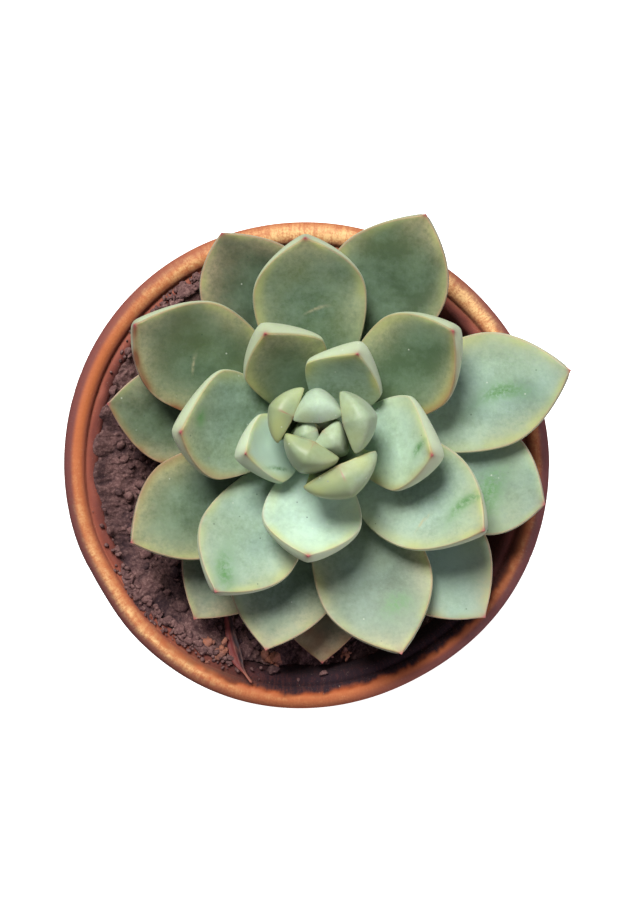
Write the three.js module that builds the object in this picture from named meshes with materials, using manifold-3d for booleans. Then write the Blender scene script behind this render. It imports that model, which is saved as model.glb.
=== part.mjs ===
// A rosette of thick, pointed leaves growing in a round terracotta pot.
// Millimetres, +Z up. The origin is the middle of the pot's underside. From straight above,
// +X is to the right and +Y is up.

import * as THREE from "three";
import { mergeVertices } from "three/addons/utils/BufferGeometryUtils.js";
import Module from "manifold-3d";

// ---- Driving dimensions -------------------------------------------------------------------

const GAP = 0.3; // left between any two pieces

// Pot
const RIM_RADIUS = 60;
const POT_HEIGHT = 90;
const ROLL_RADIUS = 3; // the rolled top edge of the collar
const COLLAR_HEIGHT = 15;
const COLLAR_STEP = 3.6; // how far the collar stands out from the wall below it
const FOOT_RADIUS = 40;
const MOUTH_RADIUS = 51.6;
const LEDGE_RADIUS = 53.2; // the low ledge just inside the rolled edge
const LEDGE_DROP = 1.8;
const FLOOR_THICKNESS = 7;
const INNER_FLOOR_RADIUS = 36;
const DRAIN_RADIUS = 5;
const POT_SIDES = 48;

// Soil
const SOIL_MIDDLE = 79.8; // height of the soil's surface under the leaves
const SOIL_BANK = 5.2; // how much higher it lies against the rim at its highest side
const BANK_TURN = 165; // the direction of that side, in degrees
const LUMP = 0.45;
// where it is heaped up to the ledge: direction and width in degrees, rise in mm
const HEAPS = [[224, 24, 4.2], [125, 22, 3.5]];
const STEM_HOLE_RADIUS = 5.5;
const STEM_FOOT = 64;
const SOIL_SIDES = 36;
const SOIL_RINGS = 10;

// Plant: its middle is beside the pot's middle
const PLANT_X = 3.4;
const PLANT_Y = 8.0;
const FIRST_LEAF_HEIGHT = 86.5; // where the lowest leaf leaves the stem
const LAST_LEAF_HEIGHT = 108.5;
const STEM_RADIUS = 5.2;
const STEM_TOP_RADIUS = 2.1;
const STEM_TOP = 104.5;
const TIP_CORE_RADIUS = 1.9; // the growing tip that holds the youngest leaves

// How finely a leaf is divided
const LEAF_STATIONS = 10;
const LEAF_SIDES = 10;
const BUD_STATIONS = 8;
const BUD_SIDES = 8;

// The leaves, from the lowest and oldest to the youngest. Each new one is about 137 degrees
// clockwise of the one before.
// turn: direction of the tip in degrees. reach: how far the tip is from the stem's axis.
// tip: height of the tip. wide, thick: the leaf at its broadest. start, end: slope of the leaf in
// degrees where it leaves the stem and at its tip, over 90 where it curls inwards. roll: how far
// the left edge, seen from the stem, is raised. cup: how hollow the upper face is.
// skew: how much fuller the left half is. broad: where along it the leaf is broadest.
// blunt: how square its shoulders are. taper: over how many mm it thins to its tip.
const LEAVES = [
  { turn: 270.5, reach: 57, tip: 88.5, wide: 26, thick: 4.2, start: -6, end: 8, roll: 5 },
  { turn: 134, reach: 34, tip: 89, wide: 20, thick: 4.0, start: -6, end: 8 },
  { turn: 352, reach: 40, tip: 90, wide: 22, thick: 4.0, start: -6, end: 10 },
  { turn: 236, reach: 55, tip: 93, wide: 26, thick: 4.4, start: 0, end: 12, roll: 4 },
  { turn: 82, reach: 34, tip: 93, wide: 20, thick: 4.2, start: 0, end: 12 },
  { turn: 311.5, reach: 58.8, tip: 103, wide: 26.5, thick: 4.6, start: 8, end: 20, skew: 0.06, blunt: 2.4 },
  { turn: 172.5, reach: 51.5, tip: 98.5, wide: 25.5, thick: 4.4, start: 4, end: 20 },
  { turn: 29, reach: 31.5, tip: 97, wide: 20, thick: 4.2, start: 4, end: 18 },
  { turn: 256, reach: 53.5, tip: 102, wide: 26.5, thick: 4.8, start: 6, end: 22 },
  { turn: 116.5, reach: 52, tip: 105, wide: 26.5, thick: 5.0, start: 6, end: 30, skew: -0.12, blunt: 2.5 },
  { turn: 342, reach: 55.5, tip: 105, wide: 26.5, thick: 5.0, start: 6, end: 26, skew: 0.14, blunt: 3 },
  { turn: 210.5, reach: 51.5, tip: 106, wide: 25.5, thick: 5.0, start: 8, end: 28 },
  { turn: 64, reach: 55.5, tip: 111, wide: 28.5, thick: 5.4, start: 8, end: 34, skew: 0.08 },
  { turn: 290, reach: 55, tip: 110, wide: 27.5, thick: 5.4, start: 8, end: 30 },
  { turn: 150.5, reach: 49, tip: 113, wide: 27, thick: 5.6, start: 10, end: 46, roll: -10, cup: 0.12,
    skew: -0.1, blunt: 2.2 },
  { turn: 13.5, reach: 59, tip: 113, wide: 27.5, thick: 5.4, start: 8, end: 32 },
  { turn: 237, reach: 44, tip: 114.5, wide: 24.5, thick: 5.4, start: 14, end: 40 },
  { turn: 94.5, reach: 43.5, tip: 117.5, wide: 26.5, thick: 5.6, start: 14, end: 48, blunt: 2.3 },
  { turn: 328.5, reach: 43.5, tip: 117.5, wide: 26, thick: 5.6, start: 16, end: 42, cup: 0.14,
    skew: -0.06, broad: 0.54, blunt: 2.4 },
  { turn: 181, reach: 31.5, tip: 118, wide: 25.5, thick: 6.0, start: 22, end: 60, roll: -8, cup: 0.12,
    skew: -0.16, blunt: 1.8 },
  { turn: 36.5, reach: 37, tip: 120.5, wide: 24.5, thick: 6.0, start: 20, end: 56, roll: -6, cup: 0.12,
    blunt: 1.9 },
  { turn: 264.5, reach: 28.5, tip: 119.5, wide: 23, thick: 5.2, start: 26, end: 52, cup: 0.12 },
  { turn: 120, reach: 24.5, tip: 122.5, wide: 20, thick: 6.0, start: 34, end: 64, roll: -6, cup: 0.1,
    skew: -0.1, blunt: 1.45 },
  { turn: 347, reach: 25.5, tip: 122.5, wide: 22, thick: 6.2, start: 32, end: 62, roll: 6, cup: 0.1,
    skew: 0.12, blunt: 1.5 },
  { turn: 198, reach: 17.5, tip: 121.5, wide: 16.5, thick: 5.2, start: 42, end: 66, cup: 0.08,
    skew: 0.06, broad: 0.56, blunt: 1.45 },
  { turn: 63.5, reach: 18.5, tip: 124.5, wide: 18.5, thick: 5.6, start: 42, end: 68, roll: 6,
    cup: 0.06, skew: 0.04, broad: 0.57, blunt: 1.3 },
  { turn: 296, reach: 8.8, tip: 125, wide: 18, thick: 5.8, start: 50, end: 126, cup: 0.03, broad: 0.86,
    blunt: 2.6, taper: 4.5 },
  { turn: 155, reach: 6.4, tip: 125.5, wide: 13.5, thick: 4.4, start: 60, end: 116, cup: 0.03,
    broad: 0.86, blunt: 2.4, taper: 4 },
];

// The youngest leaves, still folded over the growing tip.
const BUD_LEAVES = [
  { turn: 13.5, reach: 5.0, tip: 126.5, wide: 14, thick: 4.8, start: 52, end: 142 },
  { turn: 245, reach: 3.0, tip: 127, wide: 13, thick: 4.2, start: 60, end: 138 },
  { turn: 96, reach: 1.3, tip: 126.5, wide: 11, thick: 4.3, start: 52, end: 140, skew: 0.1 },
  { turn: 318, reach: 0.6, tip: 125.5, wide: 8.5, thick: 3.6, start: 45, end: 132 },
  { turn: 198, reach: 0.6, tip: 124.8, wide: 7.5, thick: 3.2, start: 50, end: 128 },
  { turn: 60, reach: 0.4, tip: 123.6, wide: 6, thick: 2.8, start: 55, end: 125 },
];
const BUD_USUAL = { cup: 0.02, broad: 0.88, blunt: 2.6, taper: 3.5 };

// The withered leaf that lies on the soil and leans on the pot's ledge: points along its middle.
const DRY_LEAF_PATH = [
  [-20.5, -33.0, 82.6],
  [-19.6, -38.5, 83.6],
  [-18.5, -43.6, 85.6],
  [-16.6, -48.6, 88.8],
  [-14.8, -51.4, 90.2],
  [-13.3, -53.3, 90.9],
];
const DRY_LEAF_WIDTH = 3.3;
const DRY_LEAF_THICKNESS = 0.9;

// ---- Solids -------------------------------------------------------------------------------

const wasm = await Module();
wasm.setup();

// Turns a closed three.js geometry into a solid that can be joined and cut.
function solidOf(geometry) {
  const bare = geometry.clone();
  bare.deleteAttribute("normal");
  bare.deleteAttribute("uv");
  const merged = mergeVertices(bare, 1e-4);
  const corners = merged.index.array;
  const kept = [];
  for (let i = 0; i < corners.length; i += 3) {
    const [a, b, c] = [corners[i], corners[i + 1], corners[i + 2]];
    if (a !== b && b !== c && c !== a) kept.push(a, b, c);
  }
  const vertProperties = new Float32Array(merged.attributes.position.array);
  const triVerts = new Uint32Array(kept);
  return new wasm.Manifold(new wasm.Mesh({ numProp: 3, vertProperties, triVerts }));
}

// Turns a solid back into a three.js geometry. Only its largest body is kept: a cut can leave scraps.
function geometryOf(solid) {
  const bodies = solid.decompose();
  bodies.sort((a, b) => b.volume() - a.volume());
  const mesh = bodies[0].getMesh();
  const geometry = new THREE.BufferGeometry();
  geometry.setAttribute("position", new THREE.BufferAttribute(mesh.vertProperties, 3));
  geometry.setIndex(new THREE.BufferAttribute(mesh.triVerts, 1));
  geometry.computeVertexNormals();
  return geometry;
}

// A closed skin over rows of points that all run the same way round. Each end is closed to a point.
function skin(rows, firstPoint, lastPoint) {
  const sides = rows[0].length;
  const points = [...rows.flat(), firstPoint, lastPoint];
  const first = points.length - 2;
  const last = points.length - 1;
  const corners = [];
  for (let row = 0; row < rows.length - 1; row++) {
    for (let side = 0; side < sides; side++) {
      const next = (side + 1) % sides;
      const [a, b] = [row * sides + side, row * sides + next];
      const [c, d] = [a + sides, b + sides];
      corners.push(a, b, d, a, d, c);
    }
  }
  const end = (rows.length - 1) * sides;
  for (let side = 0; side < sides; side++) {
    const next = (side + 1) % sides;
    corners.push(first, next, side, last, end + side, end + next);
  }
  const geometry = new THREE.BufferGeometry();
  geometry.setFromPoints(points);
  geometry.setIndex(corners);
  return geometry;
}

// A solid of revolution about +Z from [radius, height] pairs.
function revolve(profile, sides) {
  const points = profile.map(([radius, height]) => new THREE.Vector2(radius, height));
  return new THREE.LatheGeometry(points, sides).rotateX(Math.PI / 2);
}

// Points of an arc in a profile, with the angles in degrees.
function arc(middleRadius, middleHeight, radius, from, to, steps) {
  const points = [];
  for (let step = 0; step <= steps; step++) {
    const angle = THREE.MathUtils.degToRad(from + ((to - from) * step) / steps);
    points.push([middleRadius + radius * Math.cos(angle), middleHeight + radius * Math.sin(angle)]);
  }
  return points;
}

const clamp = THREE.MathUtils.clamp;
const mix = THREE.MathUtils.lerp;

// ---- Pot ----------------------------------------------------------------------------------

// Radius of the pot's inner wall at a height.
function wallRadius(height) {
  const along = (height - FLOOR_THICKNESS) / (POT_HEIGHT - ROLL_RADIUS - FLOOR_THICKNESS);
  return mix(INNER_FLOOR_RADIUS, MOUTH_RADIUS, along);
}

function potGeometry() {
  const rollMiddle = RIM_RADIUS - ROLL_RADIUS;
  const rollHeight = POT_HEIGHT - ROLL_RADIUS;
  const collarFoot = POT_HEIGHT - COLLAR_HEIGHT;
  const ledge = POT_HEIGHT - LEDGE_DROP;
  const profile = [
    [DRAIN_RADIUS, 0],
    [FOOT_RADIUS - 1.2, 0],
    [FOOT_RADIUS, 1.2],
    [RIM_RADIUS - COLLAR_STEP - 1, collarFoot - 0.6],
    [RIM_RADIUS - 1.6, collarFoot],
    [RIM_RADIUS - 0.7, collarFoot + 1],
    ...arc(rollMiddle, rollHeight, ROLL_RADIUS, 0, 142, 7),
    [LEDGE_RADIUS + 1.2, ledge - 0.7],
    [LEDGE_RADIUS + 0.4, ledge],
    [LEDGE_RADIUS - 0.6, ledge - 0.1],
    [MOUTH_RADIUS, ledge - 1.2],
    [INNER_FLOOR_RADIUS, FLOOR_THICKNESS],
    [DRAIN_RADIUS, FLOOR_THICKNESS],
    [DRAIN_RADIUS, 0],
  ];
  return revolve(profile, POT_SIDES);
}

// ---- Soil ---------------------------------------------------------------------------------

// Height of the soil's surface: low under the leaves, banked up against one side of the pot, and
// lumpy all over.
function soilHeight(x, y) {
  const radius = Math.hypot(x, y);
  const outwards = THREE.MathUtils.smoothstep(radius, 30, 49);
  const turn = THREE.MathUtils.euclideanModulo(THREE.MathUtils.radToDeg(Math.atan2(y, x)), 360);
  const facing = 0.5 + 0.5 * Math.cos(THREE.MathUtils.degToRad(turn - BANK_TURN));
  const lumps = Math.sin(x * 0.61 + 1.3 * Math.sin(y * 0.33)) + Math.sin(y * 0.74 + 1.1 * Math.sin(x * 0.41));
  const nearWall = THREE.MathUtils.smoothstep(radius, 43, 49);
  const heaps = HEAPS.map(([middle, width, rise]) => rise * nearWall * Math.exp(-(((turn - middle) / width) ** 2)));
  const banked = SOIL_MIDDLE + SOIL_BANK * outwards * facing ** 1.2 + LUMP * 0.5 * lumps;
  return heaps.reduce((height, heap) => height + heap, banked);
}

function soilGeometry() {
  const edge = wallRadius(SOIL_MIDDLE) - GAP;
  const shoulder = SOIL_MIDDLE - 8;
  const bottom = FLOOR_THICKNESS + GAP;
  const profile = [
    [0, bottom],
    [wallRadius(bottom) - GAP, bottom],
    [wallRadius(shoulder) - GAP, shoulder],
  ];
  for (let ring = SOIL_RINGS; ring >= 0; ring--) {
    profile.push([(edge * ring) / SOIL_RINGS, SOIL_MIDDLE]);
  }
  const geometry = revolve(profile, SOIL_SIDES);
  const spots = geometry.attributes.position;
  for (let i = 0; i < spots.count; i++) {
    if (Math.abs(spots.getZ(i) - SOIL_MIDDLE) > 0.01) continue;
    spots.setZ(i, soilHeight(spots.getX(i), spots.getY(i)));
  }
  const hole = [
    [0, STEM_FOOT - GAP],
    [STEM_HOLE_RADIUS, STEM_FOOT - GAP],
    [STEM_HOLE_RADIUS, POT_HEIGHT],
    [0, POT_HEIGHT],
  ];
  return geometryOf(solidOf(geometry).subtract(solidOf(revolve(hole, 20).translate(PLANT_X, PLANT_Y, 0))));
}

// ---- Stem and leaves ----------------------------------------------------------------------

// Height and radius of the stem where a leaf of a given rank grows from it, counted from 0.
function seatOf(rank) {
  const along = rank / (LEAVES.length + 1);
  return {
    height: mix(FIRST_LEAF_HEIGHT, LAST_LEAF_HEIGHT, along),
    radius: mix(STEM_RADIUS, STEM_TOP_RADIUS, along),
  };
}

function stemGeometry(spare) {
  const topRadius = mix(STEM_RADIUS, STEM_TOP_RADIUS,
    (STEM_TOP - FIRST_LEAF_HEIGHT) / (LAST_LEAF_HEIGHT - FIRST_LEAF_HEIGHT));
  const profile = [
    [0, STEM_FOOT - spare],
    [STEM_RADIUS - 0.6 + spare, STEM_FOOT - spare],
    [STEM_RADIUS + spare, FIRST_LEAF_HEIGHT - 2],
    [topRadius + spare, STEM_TOP + spare],
    [0, STEM_TOP + spare],
  ];
  return revolve(profile, 20).translate(PLANT_X, PLANT_Y, 0);
}

// Half the leaf's width along its length, as a share of the half width where it is broadest.
function outlineAt(along, broad, blunt) {
  const baseShare = 0.34;
  if (along < broad) {
    return mix(baseShare, 1, Math.sin((along / broad) * Math.PI * 0.5) ** 1.5);
  }
  return (1 - ((along - broad) / (1 - broad)) ** blunt) ** 1.08;
}

// Thickness along the leaf, as a share of its greatest: swelling from the base, then rounded off to
// the tip over the taper's share of the length.
function bodyAt(along, taper) {
  const swelling = 0.62 + 0.38 * Math.sin(Math.min(along / 0.5, 1) * Math.PI * 0.5);
  return swelling * (1 - clamp((along - 1 + taper) / taper, 0, 1) ** 2.2) ** 0.5;
}

// The midrib in the upright plane through the stem: a cubic curve with the two end slopes.
function midribOf(leaf, seat) {
  const start = new THREE.Vector2(seat.radius, seat.height);
  const end = new THREE.Vector2(leaf.reach, leaf.tip);
  const pull = 0.38 * start.distanceTo(end);
  const rise = THREE.MathUtils.degToRad(leaf.start);
  const finish = THREE.MathUtils.degToRad(leaf.end);
  const leaving = start.clone().add(new THREE.Vector2(Math.cos(rise), Math.sin(rise)).multiplyScalar(pull));
  const arriving = end.clone().sub(new THREE.Vector2(Math.cos(finish), Math.sin(finish)).multiplyScalar(pull));
  return new THREE.CubicBezierCurve(start, leaving, arriving, end);
}

// A leaf is a row of cross sections along its midrib: a nearly flat or hollow upper face, a rounded
// underside and a sharp edge between them, ending in a point. spare fattens it all round.
function leafGeometry(leaf, rank, spare, stations, sides) {
  const { roll = 0, cup = 0.09, skew = 0, broad = 0.64, blunt = 2.1 } = leaf;
  const midrib = midribOf(leaf, seatOf(rank));
  const age = Math.min(rank / LEAVES.length, 1);
  const taper = Math.min((leaf.taper ?? mix(18, 5.5, age)) / midrib.getLength(), 0.7);
  const turn = THREE.MathUtils.degToRad(leaf.turn);
  const outward = new THREE.Vector3(Math.cos(turn), Math.sin(turn), 0);
  const left = new THREE.Vector3(-Math.sin(turn), Math.cos(turn), 0);
  const axis = new THREE.Vector3(PLANT_X, PLANT_Y, 0);
  const place = ({ x, y }) => axis.clone().addScaledVector(outward, x).setZ(y);
  const rows = [];
  for (let station = 0; station < stations; station++) {
    const even = station / stations;
    const along = mix(even, (1 - Math.cos(even * Math.PI)) / 2, 0.5);
    const slope = midrib.getTangentAt(along);
    const up = outward.clone().multiplyScalar(-slope.y).setZ(slope.x);
    const tilt = THREE.MathUtils.degToRad(roll) * (0.3 + 0.7 * along);
    const across = left.clone().multiplyScalar(Math.cos(tilt)).addScaledVector(up, Math.sin(tilt));
    up.multiplyScalar(Math.cos(tilt)).addScaledVector(left, -Math.sin(tilt));
    const half = (leaf.wide / 2) * outlineAt(along, broad, blunt) + spare;
    const body = bodyAt(along, taper);
    const under = Math.min(leaf.thick * body + 0.15 + spare, half * 1.6);
    const over = Math.min(0.06 * leaf.thick * body + 0.05 + spare, half * 0.9);
    const hollow = cup * half * Math.sin(along * Math.PI * 0.9) ** 0.8;
    const shift = skew * Math.sin(along * Math.PI);
    const middle = place(midrib.getPointAt(along));
    const row = [];
    for (let side = 0; side < sides; side++) {
      const angle = (side / sides) * Math.PI * 2;
      const [c, s] = [Math.cos(angle), Math.sin(angle)];
      const depth = s > 0 ? over * s : under * s * (0.85 + 0.15 * Math.abs(s));
      const spot = middle.clone().addScaledVector(across, half * (c + shift * c * c));
      row.push(spot.addScaledVector(up, depth + hollow * c * c));
    }
    rows.push(row);
  }
  const tip = place(midrib.getPointAt(1));
  const tangent = midrib.getTangentAt(1);
  tip.addScaledVector(outward, tangent.x * spare).setZ(tip.z + tangent.y * spare);
  return skin(rows, place(midrib.getPointAt(0)), tip);
}

// The youngest leaves and the growing tip are one piece.
function budSolid(spare) {
  const last = seatOf(LEAVES.length);
  const core = [
    [0, STEM_TOP + GAP],
    [TIP_CORE_RADIUS + spare, STEM_TOP + GAP],
    [TIP_CORE_RADIUS + spare, last.height + 5],
    [0, last.height + 8],
  ];
  let bud = solidOf(revolve(core, 12).translate(PLANT_X, PLANT_Y, 0));
  BUD_LEAVES.forEach((leaf, index) => {
    const folded = { ...BUD_USUAL, ...leaf };
    const grown = leafGeometry(folded, LEAVES.length + index, spare, BUD_STATIONS, BUD_SIDES);
    bud = bud.add(solidOf(grown));
  });
  return bud;
}

// Leaves press together near the stem. Where two would meet, the lower one gives way, and each
// gives way to the stem.
function leafSolids() {
  const solids = LEAVES.map((leaf, rank) => solidOf(leafGeometry(leaf, rank, 0, LEAF_STATIONS, LEAF_SIDES)));
  const fat = LEAVES.map((leaf, rank) => solidOf(leafGeometry(leaf, rank, GAP, LEAF_STATIONS, LEAF_SIDES)));
  const stem = solidOf(stemGeometry(GAP));
  const bud = budSolid(GAP);
  return solids.map((solid, rank) => {
    const higher = fat.slice(rank + 1).filter((other) => !solid.intersect(other).isEmpty());
    return [...higher, bud, stem].reduce((left, tool) => left.subtract(tool), solid);
  });
}

// ---- Withered leaf ------------------------------------------------------------------------

function dryLeafGeometry() {
  const middle = new THREE.CatmullRomCurve3(DRY_LEAF_PATH.map((spot) => new THREE.Vector3(...spot)));
  const stations = 12;
  const sides = 6;
  const rows = [];
  for (let station = 0; station < stations; station++) {
    const along = station / stations;
    const spot = middle.getPointAt(along);
    const tangent = middle.getTangentAt(along);
    const across = new THREE.Vector3(-tangent.y, tangent.x, 0).normalize();
    const up = new THREE.Vector3().crossVectors(tangent, across);
    const broadening = mix(0.5, 1, THREE.MathUtils.smoothstep(along, 0.1, 0.66));
    const half = (DRY_LEAF_WIDTH / 2) * broadening * (1 - 0.8 * THREE.MathUtils.smoothstep(along, 0.66, 0.9));
    const row = [];
    for (let side = 0; side < sides; side++) {
      const angle = (side / sides) * Math.PI * 2;
      const corner = spot.clone().addScaledVector(across, half * Math.cos(angle));
      row.push(corner.addScaledVector(up, (DRY_LEAF_THICKNESS / 2) * Math.sin(angle) * 1.15));
    }
    rows.push(row);
  }
  return skin(rows, middle.getPointAt(0), middle.getPointAt(1));
}

// ---- Assembly -----------------------------------------------------------------------------

const terracotta = { color: 0xb9683f, roughness: 0.55, metalness: 0 };
const earth = { color: 0x5a4642, roughness: 0.95, metalness: 0 };
const bark = { color: 0x8a8462, roughness: 0.8, metalness: 0 };
const withered = { color: 0x5c2a2a, roughness: 0.7, metalness: 0 };
const bloomOld = { color: 0x7f9d7c, roughness: 0.6, metalness: 0 };
const bloomYoung = { color: 0xb9d6b4, roughness: 0.6, metalness: 0 };

const plant = new THREE.Group();

function addPiece(name, geometry, look) {
  const mesh = new THREE.Mesh(geometry, new THREE.MeshStandardMaterial(look));
  mesh.name = name;
  plant.add(mesh);
}

addPiece("pot", potGeometry(), terracotta);
addPiece("soil", soilGeometry(), earth);
addPiece("stem", stemGeometry(0), bark);
leafSolids().forEach((solid, rank) => {
  const share = rank / LEAVES.length;
  const color = new THREE.Color(bloomOld.color).lerp(new THREE.Color(bloomYoung.color), share);
  const name = `leaf_${String(rank + 1).padStart(2, "0")}`;
  addPiece(name, geometryOf(solid), { ...bloomOld, color });
});
addPiece("bud", geometryOf(budSolid(0).subtract(solidOf(stemGeometry(GAP)))), bloomYoung);
addPiece("dry_leaf", dryLeafGeometry(), withered);

export default plant;
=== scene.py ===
import bpy
import numpy as np
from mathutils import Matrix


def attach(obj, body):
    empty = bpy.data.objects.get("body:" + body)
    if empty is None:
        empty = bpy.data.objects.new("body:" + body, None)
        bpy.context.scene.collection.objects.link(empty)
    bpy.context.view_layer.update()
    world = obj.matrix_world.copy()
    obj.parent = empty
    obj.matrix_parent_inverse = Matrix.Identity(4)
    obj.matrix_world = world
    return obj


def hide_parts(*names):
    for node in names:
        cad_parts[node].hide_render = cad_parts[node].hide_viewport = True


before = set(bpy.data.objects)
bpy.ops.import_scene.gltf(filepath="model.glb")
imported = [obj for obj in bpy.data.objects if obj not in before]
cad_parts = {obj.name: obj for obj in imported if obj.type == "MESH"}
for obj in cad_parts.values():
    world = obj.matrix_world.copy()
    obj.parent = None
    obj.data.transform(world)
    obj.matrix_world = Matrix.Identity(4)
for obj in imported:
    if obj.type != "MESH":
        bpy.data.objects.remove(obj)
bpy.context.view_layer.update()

print("frame loaded:", len(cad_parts), "nodes")

mm = 0.001
pi = np.pi
latticeSize = 64  # squares along a noise's random table, after which it repeats


def mix(a, b, share):
    return a + (b - a) * share


def smoothStep(value, low, high):
    # 0 below low, 1 above high, with an S curve between
    share = np.clip((value - low) / (high - low), 0, 1)
    return share * share * (3 - 2 * share)


def hill(value, middle, width):
    # a bell curve of height 1
    return np.exp(-((value - middle) / width) ** 2)


def angleFrom(angle, middle):
    # the difference of two directions in degrees, from -180 to 180
    return (angle - middle + 180) % 360 - 180


def placesRound(degrees, places):
    # bell curves about directions, added up; each place is a direction, a width in degrees and a height
    return sum(height * hill(angleFrom(degrees, middle), 0, width) for middle, width, height in places)


def valueNoise(x, y, seed, size=1):
    # random heights on a square lattice of this size, blended by S curves; from -1 to 1
    x, y = x / size, y / size
    table = np.random.default_rng(seed).uniform(-1, 1, (latticeSize, latticeSize))
    column, row = np.floor(x).astype(int), np.floor(y).astype(int)
    u, v = smoothStep(x - column, 0, 1), smoothStep(y - row, 0, 1)
    left, right = column % latticeSize, (column + 1) % latticeSize
    low, high = (mix(table[left, side % latticeSize], table[right, side % latticeSize], u)
                 for side in (row, row + 1))
    return mix(low, high, v)


def clodNoise(x, y, seed, size):
    # one dome per lattice square, its top at a random spot and of random height; from 0 to 1
    x, y = x / size, y / size
    spots = np.random.default_rng(seed).uniform(0, 1, (3, latticeSize, latticeSize))
    column, row = np.floor(x).astype(int), np.floor(y).astype(int)
    height = np.zeros_like(x)
    for stepX in (-1, 0, 1):
        for stepY in (-1, 0, 1):
            c, r = column + stepX, row + stepY
            a, b, tall = spots[:, c % latticeSize, r % latticeSize]
            away = np.hypot(x - c - a, y - r - b) / (0.35 + 0.45 * tall)
            height = np.maximum(height, tall * np.sqrt(np.clip(1 - away ** 2, 0, 1)))
    return height


def alongPath(points, count):
    # a smooth curve through the points (Catmull-Rom), at count even steps of the parameter
    p = np.array(points, float)
    p = np.vstack([2 * p[0] - p[1], p, 2 * p[-1] - p[-2]])
    place = np.linspace(0, len(points) - 1, count)
    k = np.minimum(place.astype(int), len(points) - 2)
    t = (place - k)[:, None]
    a, b, c, d = p[k], p[k + 1], p[k + 2], p[k + 3]
    bend = (2 * a - 5 * b + 4 * c - d) * t ** 2 + (3 * b - a - 3 * c + d) * t ** 3
    return 0.5 * (2 * b + (c - a) * t + bend)


def walkedAlong(spots):
    # how far each point of a curve is from its start
    return np.concatenate([[0], np.cumsum(np.linalg.norm(np.diff(spots, axis=0), axis=1))])


def roundPoints(away, turn, height):
    # points at a distance and in a direction from the upright axis
    return np.stack([away * np.cos(turn), away * np.sin(turn), height + 0 * turn], -1)


def bandFaces(near, far):
    # quads between closed rings of point numbers
    return np.stack([near, np.roll(near, -1, -1), np.roll(far, -1, -1), far], -1).reshape(-1, 4)


def fanFaces(ring, tip):
    # triangles between a closed ring of point numbers and one point
    return np.stack([np.full(len(ring), tip), np.roll(ring, -1), ring], -1)


def closedSkin(rows, first, last):
    # rows of points that run the same way round, closed to a point at each end
    count, sides = rows.shape[:2]
    rings = np.arange(count * sides).reshape(count, sides)
    start, finish = fanFaces(rings[0], count * sides), fanFaces(rings[-1], count * sides + 1)
    return np.vstack([rows.reshape(-1, 3), first, last]), [
        bandFaces(rings[:-1], rings[1:]), start, finish[:, ::-1]]


def makePiece(name, points, faces, material, replaced=None, masks=None):
    # points in millimetres; faces is a list of index arrays, each of triangles or of quads; each mask has one
    # number or one vector for each point
    mesh = bpy.data.meshes.new(name)
    corners = np.concatenate([part.ravel() for part in faces])
    sizes = np.concatenate([np.full(len(part), part.shape[1]) for part in faces])
    mesh.vertices.add(len(points))
    mesh.vertices.foreach_set("co", (points * mm).astype(np.float32).ravel())
    mesh.loops.add(len(corners))
    mesh.loops.foreach_set("vertex_index", corners.astype(np.int32))
    mesh.polygons.add(len(sizes))
    mesh.polygons.foreach_set("loop_start", (np.cumsum(sizes) - sizes).astype(np.int32))
    mesh.polygons.foreach_set("use_smooth", np.ones(len(sizes), bool))
    mesh.update(calc_edges=True)
    mesh.validate()
    for mask, values in (masks or {}).items():
        values = np.asarray(values, np.float32).reshape(len(points), -1)
        single = values.shape[1] == 1
        attribute = mesh.attributes.new(mask, "FLOAT" if single else "FLOAT_VECTOR", "POINT")
        attribute.data.foreach_set("value" if single else "vector", values.ravel())
    mesh.materials.append(material)
    piece = bpy.data.objects.new(name, mesh)
    bpy.context.scene.collection.objects.link(piece)
    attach(piece, "root")
    if replaced:
        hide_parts(replaced)


def toLinear(hexColour):
    # sRGB hex to linear light
    channels = np.array([int(hexColour[i:i + 2], 16) for i in (1, 3, 5)]) / 255
    linear = np.where(channels <= 0.04045, channels / 12.92, ((channels + 0.055) / 1.055) ** 2.4)
    return (*linear, 1.0)


def addNode(tree, kind, settings=None, inputs=None):
    # adds a node, sets its properties, then sets each input or links it to a socket; returns its outputs
    node = tree.nodes.new("ShaderNode" + kind)
    for name, value in (settings or {}).items():
        setattr(node, name, value)
    for key, value in (inputs or {}).items():
        if isinstance(value, bpy.types.NodeSocket):
            tree.links.new(value, node.inputs[key])
        else:
            node.inputs[key].default_value = value
    return node.outputs


# A material's recipe has masks read from the mesh, noises (size in mm, detail, roughness), steps, bumps
# (what, strength, depth in mm) and the shader's inputs. A step is its result's name, an action, and the
# earlier results, numbers or colours that it works on. An action is a node, its settings, the inputs that
# are filled in turn and its output.
actions = {
    # a value, where it starts and ends, and the results there
    "spread": ("MapRange", {}, (0, 1, 2, 3, 4), 0),
    # a share, the colour at 0 and the colour at 1
    "blend": ("Mix", {"data_type": "RGBA"}, (0, 6, 7), 2),
    "exceed": ("Math", {"operation": "GREATER_THAN"}, (0, 1), 0),
    "add": ("Math", {"operation": "ADD"}, (0, 1), 0),
    "addWithin1": ("Math", {"operation": "ADD", "use_clamp": True}, (0, 1), 0),
    "multiply": ("Math", {"operation": "MULTIPLY"}, (0, 1), 0),
    "multiplyAdd": ("Math", {"operation": "MULTIPLY_ADD"}, (0, 1, 2), 0),
}


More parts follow.
